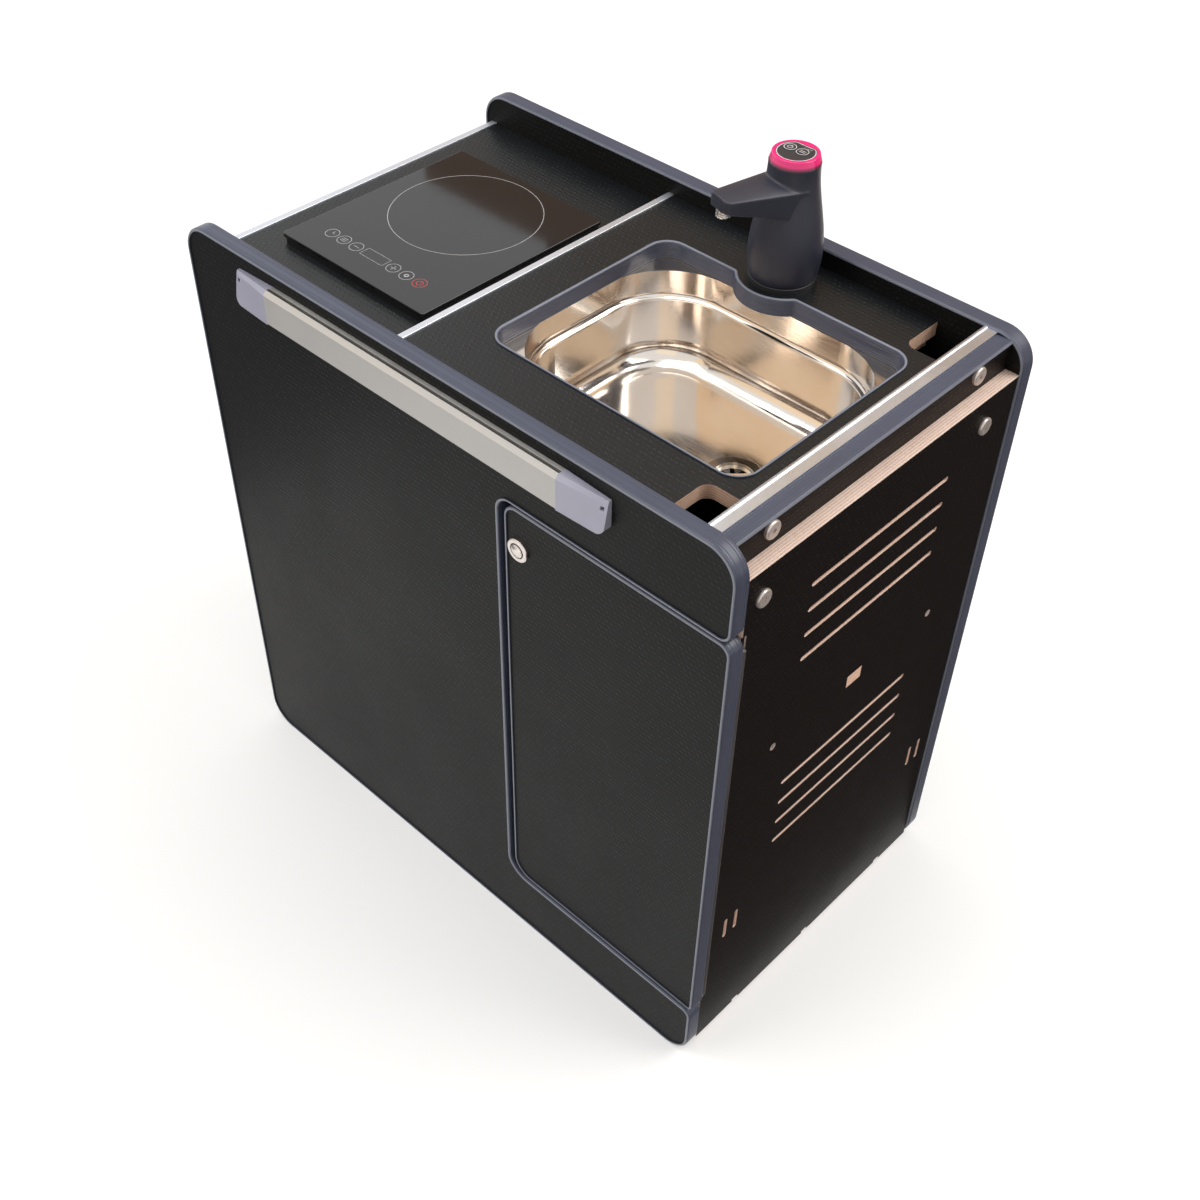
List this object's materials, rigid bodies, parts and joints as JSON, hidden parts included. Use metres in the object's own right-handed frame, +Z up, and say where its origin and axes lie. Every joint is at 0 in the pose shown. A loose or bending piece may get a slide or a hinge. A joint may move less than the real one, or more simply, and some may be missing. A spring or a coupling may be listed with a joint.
{
  "type": "campervan kitchen pod with sink, induction hob and fridge bay",
  "caption": "Compact camper kitchen pod of trimmed grey boards: worktops with inset sink, docked tap and drop-in hob, table rail, vented end panel, locker door with push lock, fridge bay.",
  "frame": {"origin": "on the floor, under the middle of the whole outline, table rail included", "axes": "+X to the right along the front, +Y to the back, +Z up; the front faces -Y"},
  "size_m": [0.708, 0.434, 0.8295],
  "materials": {
    "textured_ply": "dark grey film with a fine raised grip pattern",
    "end_ply": "dark warm grey film with a coarse raised grip pattern, raw birch edges",
    "inner_ply": "raw birch ply",
    "slate_trim": "slate grey extruded edge trim, satin",
    "pale_aluminium": "natural anodised, satin, drawn lengthways",
    "pan_steel": "brushed stainless",
    "screw_steel": "bright zinc",
    "lock_nickel": "nickel plated",
    "black_plastic": "black, satin",
    "seal_rubber": "black rubber",
    "hose": "clear grey flexible hose",
    "tap_grey": "graphite metallic, satin",
    "tap_magenta": "magenta gloss",
    "tap_dark": "dark grey gloss",
    "hob_glass": "black ceramic glass",
    "can_plastic": "natural food-grade polythene",
    "fridge_grey": "dark grey moulded skin",
    "fridge_clear": "clear toughened glass",
    "compressor_black": "black enamel"
  },
  "bodies": {
    "cabinet": {"front_board": "textured_ply", "front_trim": "slate_trim", "rear_board": "textured_ply", "rear_trim": "slate_trim", "right_end_panel": "end_ply", "base_panel": "inner_ply", "partition_panel": "inner_ply", "mid_shelf": "inner_ply", "left_fascia": "textured_ply", "hob_worktop": "textured_ply", "sink_worktop": "textured_ply", "worktop_strips": "pale_aluminium", "sink_cutout_trim": "slate_trim", "worktop_cleats": "inner_ply", "end_upstand": "textured_ply", "upstand_trim": "slate_trim", "side_rail": "pale_aluminium", "rail_bolts": "screw_steel", "end_panel_screws": "screw_steel", "shelf_screws": "screw_steel", "table_rail": "pale_aluminium", "table_rail_caps": "pale_aluminium", "sink_pan": "pan_steel", "pan_gasket": "seal_rubber", "pan_clips": "screw_steel", "drain_flange": "pan_steel", "waste_cup": "black_plastic", "waste_hose": "hose", "tap_hose": "hose", "waste_can": "can_plastic", "fresh_can": "can_plastic", "waste_can_cap": "black_plastic", "fresh_can_cap": "black_plastic", "tap_dock": "black_plastic", "dock_nut": "black_plastic", "hob_glass": "hob_glass", "hob_case": "black_plastic", "hinge_leaf_frame": "pale_aluminium", "hinge_pin": "screw_steel", "lock_keeper": "screw_steel", "fridge_cabinet": "fridge_grey", "fridge_shelves": "fridge_clear", "fridge_hinges": "screw_steel", "compressor": "compressor_black"},
    "door": {"door_board": "textured_ply", "door_trim": "slate_trim", "hinge_leaf_door": "pale_aluminium", "lock_rosette": "lock_nickel", "lock_case": "black_plastic"},
    "lock_button": {"lock_button": "lock_nickel"},
    "lock_latch": {"lock_latch": "black_plastic"},
    "tap": {"tap_body": "tap_grey", "tap_nozzle": "lock_nickel", "tap_light_ring": "tap_magenta", "tap_face": "tap_dark"},
    "tap_key_left": {"tap_key_left": "tap_dark"},
    "tap_key_right": {"tap_key_right": "tap_dark"},
    "strainer": {"strainer": "pan_steel"},
    "fridge_door": {"fridge_door": "fridge_grey", "fridge_gasket": "seal_rubber"}
  },
  "joints": [
    {"name": "door_hinge", "type": "hinge", "parent": "cabinet", "child": "door", "pos_m": [0.3518, -0.1835, 0.356], "axis": [0, 0, 1], "range_deg": [0, 140]},
    {"name": "lock_button_slide", "type": "slide", "parent": "door", "child": "lock_button", "axis": [0, -1, 0], "range_m": [0, 0.009]},
    {"name": "lock_latch_slide", "type": "slide", "parent": "door", "child": "lock_latch", "axis": [1, 0, 0], "range_m": [0, 0.009]},
    {"name": "tap_swivel", "type": "hinge", "parent": "cabinet", "child": "tap", "pos_m": [0.106, 0.159, 0.7043], "axis": [0, 0, 1], "range_deg": [-120, 120]},
    {"name": "tap_key_left_press", "type": "slide", "parent": "tap", "child": "tap_key_left", "axis": [0, 0, -1], "range_m": [0, 0.0006], "stiffness_N_per_m": 400, "springref_m": -0.002},
    {"name": "tap_key_right_press", "type": "slide", "parent": "tap", "child": "tap_key_right", "axis": [0, 0, -1], "range_m": [0, 0.0006], "stiffness_N_per_m": 400, "springref_m": -0.002},
    {"name": "strainer_lift", "type": "slide", "parent": "cabinet", "child": "strainer", "axis": [0, 0, 1], "range_m": [0, 0.13]},
    {"name": "fridge_door_hinge", "type": "hinge", "parent": "cabinet", "child": "fridge_door", "pos_m": [-0.337, 0.19, 0.29], "axis": [0, 0, 1], "range_deg": [-95, 0]}
  ],
  "couplings": [
    {"joint": "lock_latch_slide", "follows": "lock_button_slide", "ratio": 1}
  ]
}
